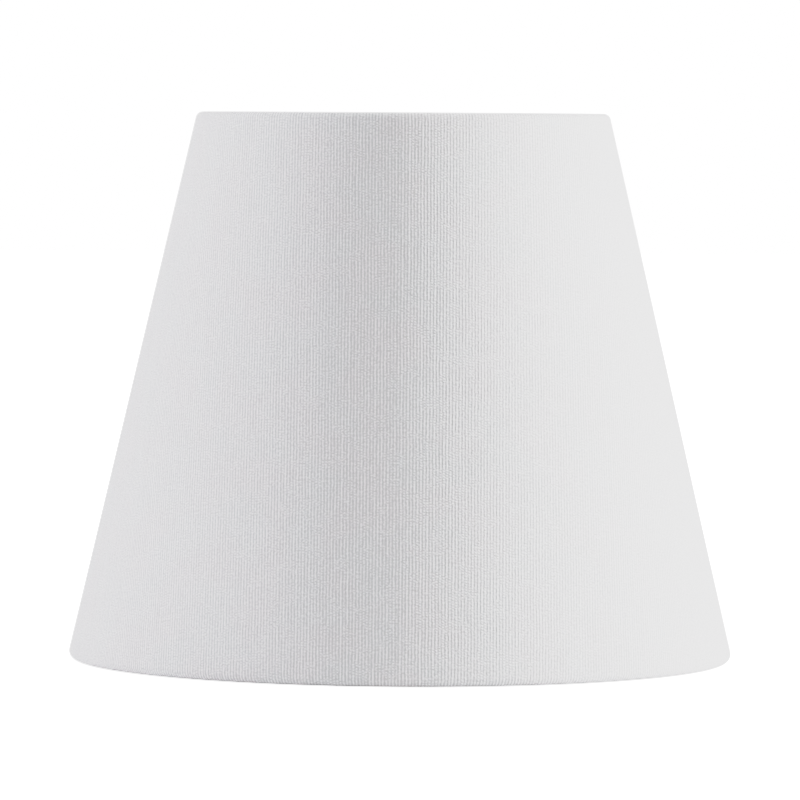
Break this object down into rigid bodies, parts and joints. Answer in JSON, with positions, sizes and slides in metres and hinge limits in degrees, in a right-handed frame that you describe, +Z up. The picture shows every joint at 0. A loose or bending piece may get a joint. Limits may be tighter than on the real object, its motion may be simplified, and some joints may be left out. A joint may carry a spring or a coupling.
{
  "type": "lamp shade",
  "caption": "Small tapered white lamp shade with rolled hems, drop arms, a tilting fitter ring and a lift-out reducer ring.",
  "frame": {"origin": "centre of the circle that the bottom hem stands on", "axes": "+Z up along the shade's axis to the top rim, +Y towards the side seam at the back, X along the fitter's tilt pivot"},
  "size_m": [0.2, 0.2, 0.165],
  "materials": {
    "ribbed_fabric": "matte, fine ribs",
    "backing_film": "satin",
    "adhesive_tape": "matte",
    "coated_wire": "satin white powder coat",
    "zinc_steel": "bright zinc",
    "fibre_washer": "matte vulcanised fibre",
    "reducer_plastic": "moulded, light gloss"
  },
  "bodies": {
    "shade": {"cover_fabric": "ribbed_fabric", "backing_sheet": "backing_film", "seam_tape": "adhesive_tape", "top_ring_tape": "adhesive_tape", "bottom_ring_tape": "adhesive_tape", "top_ring": "coated_wire", "bottom_ring": "coated_wire", "drop_arm_back": "coated_wire", "drop_arm_left": "coated_wire", "drop_arm_right": "coated_wire", "carrier_ring": "coated_wire", "pivot_bracket_left": "coated_wire", "pivot_bracket_right": "coated_wire", "pivot_rivet_left": "zinc_steel", "pivot_rivet_right": "zinc_steel", "friction_washer_left": "fibre_washer", "friction_washer_right": "fibre_washer"},
    "fitter": {"fitter_ring": "coated_wire"},
    "reducer": {"reducer_ring": "reducer_plastic"}
  },
  "joints": [
    {"name": "fitter_tilt", "type": "hinge", "parent": "shade", "child": "fitter", "pos_m": [0, 0, 0.098], "axis": [1, 0, 0], "range_deg": [-20, 20]},
    {"name": "reducer_lift", "type": "slide", "parent": "fitter", "child": "reducer", "axis": [0, 0, 1], "range_m": [0, 0.07]}
  ]
}
